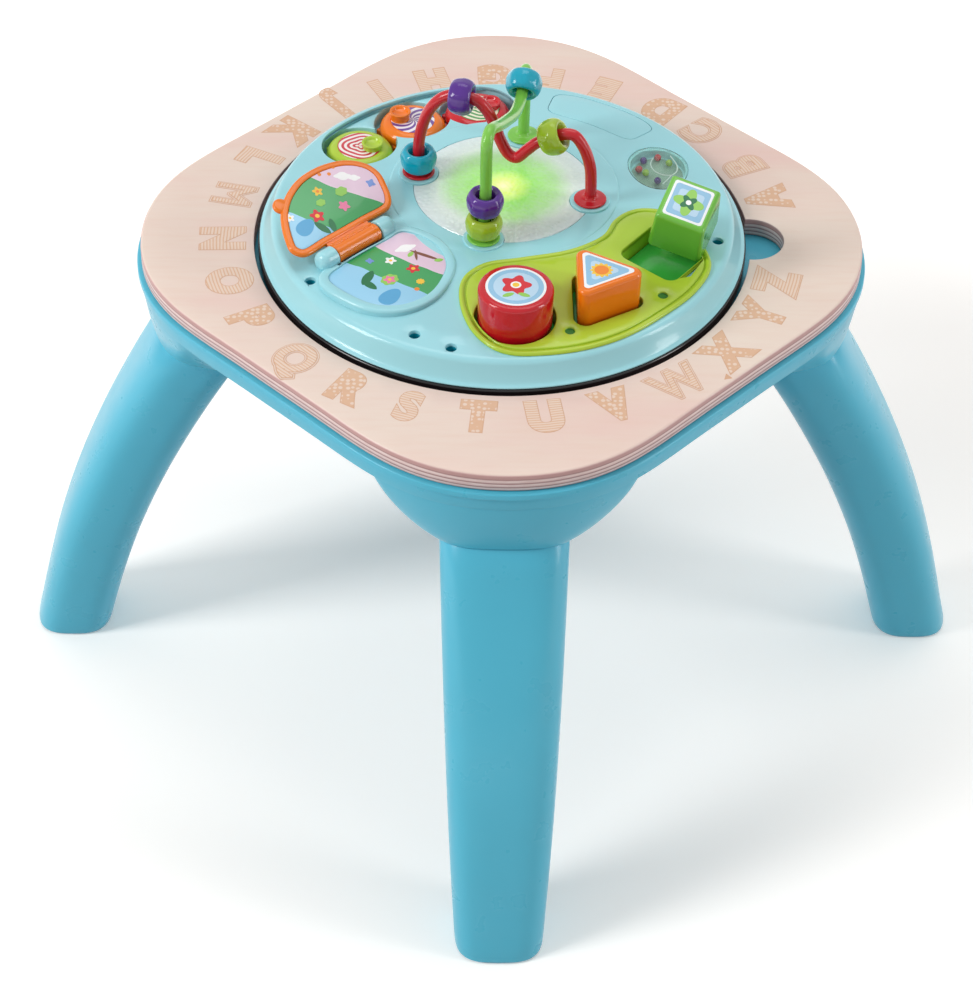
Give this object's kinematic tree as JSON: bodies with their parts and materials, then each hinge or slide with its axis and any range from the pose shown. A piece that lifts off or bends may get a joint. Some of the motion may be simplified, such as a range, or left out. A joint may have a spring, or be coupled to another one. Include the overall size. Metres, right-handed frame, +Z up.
{
  "type": "activity table",
  "caption": "Low toddler play table with a rounded plywood top on bowed plastic legs and a lift-out panel with bead maze, gears, turning page and shape sorter.",
  "frame": {"origin": "on the floor under the middle of the top, which is the middle of the box round the four feet", "axes": "+Z up; the corners and legs lie on +X, -X, +Y and -Y; -Y is the front leg in the picture and +X the side with the finger notch"},
  "size_m": [0.6726, 0.6726, 0.4552],
  "materials": {
    "plywood": "clear satin lacquer, striped ply edge",
    "teal_plastic": "smooth moulded satin",
    "aqua_plastic": "smooth moulded gloss",
    "black_gloss": "deep gloss",
    "lens_plastic": "frosted and pebbled",
    "circuit_board": "solder mask",
    "speaker_metal": "satin black",
    "dark_plastic": "satin",
    "red_coating": "smooth dipped coating",
    "green_coating": "smooth dipped coating",
    "teal_gloss": "high gloss",
    "purple_gloss": "high gloss",
    "lime_gloss": "high gloss",
    "red_gloss": "high gloss",
    "orange_gloss": "high gloss",
    "bright_green_gloss": "high gloss",
    "printed_card": "printed and laminated",
    "steel": "plain zinc",
    "battery_can": "printed can, left plain",
    "clear_plastic": "clear"
  },
  "bodies": {
    "table": {"tabletop": "plywood", "table_frame": "teal_plastic", "well_floor": "teal_plastic", "leg_front": "teal_plastic", "leg_right": "teal_plastic", "leg_back": "teal_plastic", "leg_left": "teal_plastic", "leg_screw_front": "steel", "leg_screw_right": "steel", "leg_screw_back": "steel", "leg_screw_left": "steel", "top_screw_front": "steel", "top_screw_right": "steel", "top_screw_back": "steel", "top_screw_left": "steel"},
    "panel": {"panel_top": "aqua_plastic", "panel_base": "aqua_plastic", "trim_ring": "black_gloss", "blank_plate": "aqua_plastic", "light_lens": "lens_plastic", "light_board": "circuit_board", "main_board": "circuit_board", "speaker": "speaker_metal", "battery_door": "aqua_plastic", "battery_1": "battery_can", "battery_2": "battery_can", "battery_3": "battery_can", "wire_red": "red_coating", "wire_green": "green_coating", "page_pin": "steel", "shape_tray": "lime_gloss", "rattle_window": "clear_plastic", "rattle_ball_1": "red_gloss", "rattle_ball_2": "purple_gloss", "rattle_ball_3": "lime_gloss", "rattle_ball_4": "red_gloss", "rattle_ball_5": "lime_gloss", "rattle_ball_6": "purple_gloss"},
    "power_switch": {"power_switch": "dark_plastic"},
    "page": {"book_page": "orange_gloss", "page_card": "printed_card"},
    "gear_red": {"gear_red": "red_gloss"},
    "gear_orange": {"gear_orange": "orange_gloss"},
    "gear_green": {"gear_green": "lime_gloss"},
    "bead_teal_left": {"bead_teal_left": "teal_gloss"},
    "bead_purple_top": {"bead_purple_top": "purple_gloss"},
    "bead_lime_right": {"bead_lime_right": "lime_gloss"},
    "bead_teal_top": {"bead_teal_top": "teal_gloss"},
    "bead_lime_front": {"bead_lime_front": "lime_gloss"},
    "bead_purple_front": {"bead_purple_front": "purple_gloss"},
    "key_round": {"key_round": "lime_gloss"},
    "key_triangle": {"key_triangle": "lime_gloss"},
    "key_square": {"key_square": "bright_green_gloss"},
    "block_round": {"block_round": "red_gloss"},
    "block_triangle": {"block_triangle": "orange_gloss"},
    "block_square": {"block_square": "bright_green_gloss"}
  },
  "joints": [
    {"name": "panel_lift", "type": "slide", "parent": "table", "child": "panel", "axis": [0, 0, 1], "range_m": [0, 0.06]},
    {"name": "switch_slide", "type": "slide", "parent": "panel", "child": "power_switch", "axis": [1, 0, 0], "range_m": [-0.004, 0.004]},
    {"name": "page_hinge", "type": "hinge", "parent": "panel", "child": "page", "pos_m": [-0.0965, -0.0426, 0.373], "axis": [0.7193, 0.6947, 0], "range_deg": [0, 148]},
    {"name": "gear_orange_spin", "type": "hinge", "parent": "panel", "child": "gear_orange", "pos_m": [-0.06022, 0.10644, 0.36], "axis": [0, 0, 1], "continuous": true},
    {"name": "gear_red_spin", "type": "hinge", "parent": "panel", "child": "gear_red", "pos_m": [-0.01533, 0.12134, 0.36], "axis": [0, 0, 1], "continuous": true},
    {"name": "gear_green_spin", "type": "hinge", "parent": "panel", "child": "gear_green", "pos_m": [-0.09611, 0.07563, 0.36], "axis": [0, 0, 1], "continuous": true},
    {"name": "bead_teal_left_slide", "type": "slide", "parent": "panel", "child": "bead_teal_left", "axis": [0, 0, 1], "range_m": [0, 0.012]},
    {"name": "bead_purple_top_ride", "type": "hinge", "parent": "panel", "child": "bead_purple_top", "pos_m": [-0.02758, 0.02955, 0.40724], "axis": [0.2554, 0.9668, 0], "range_deg": [-8, 8]},
    {"name": "bead_lime_right_slide", "type": "slide", "parent": "panel", "child": "bead_lime_right", "axis": [0.8567, -0.2263, 0.4635], "range_m": [-0.005, 0.003]},
    {"name": "bead_teal_top_slide", "type": "slide", "parent": "panel", "child": "bead_teal_top", "axis": [0.164, 0.8888, 0.4279], "range_m": [-0.006, 0.001]},
    {"name": "bead_lime_front_slide", "type": "slide", "parent": "panel", "child": "bead_lime_front", "axis": [0, 0, 1], "range_m": [0, 0.01]},
    {"name": "bead_purple_front_slide", "type": "slide", "parent": "bead_lime_front", "child": "bead_purple_front", "axis": [0, 0, 1], "range_m": [0, 0.012]},
    {"name": "key_round_press", "type": "slide", "parent": "panel", "child": "key_round", "axis": [0, 0, -1], "range_m": [0, 0.002], "stiffness_N_per_m": 300},
    {"name": "key_triangle_press", "type": "slide", "parent": "panel", "child": "key_triangle", "axis": [0, 0, -1], "range_m": [0, 0.002], "stiffness_N_per_m": 300},
    {"name": "key_square_press", "type": "slide", "parent": "panel", "child": "key_square", "axis": [0, 0, -1], "range_m": [0, 0.002], "stiffness_N_per_m": 300},
    {"name": "block_round_lift", "type": "slide", "parent": "panel", "child": "block_round", "axis": [0, 0, 1], "range_m": [0, 0.04]},
    {"name": "block_triangle_lift", "type": "slide", "parent": "panel", "child": "block_triangle", "axis": [0, 0, 1], "range_m": [0, 0.04]},
    {"name": "block_square_lift", "type": "slide", "parent": "panel", "child": "block_square", "axis": [0.0232, -0.3925, 0.9195], "range_m": [0, 0.03]}
  ],
  "couplings": [
    {"joint": "gear_red_spin", "follows": "gear_orange_spin", "ratio": -1},
    {"joint": "gear_green_spin", "follows": "gear_orange_spin", "ratio": -1}
  ]
}
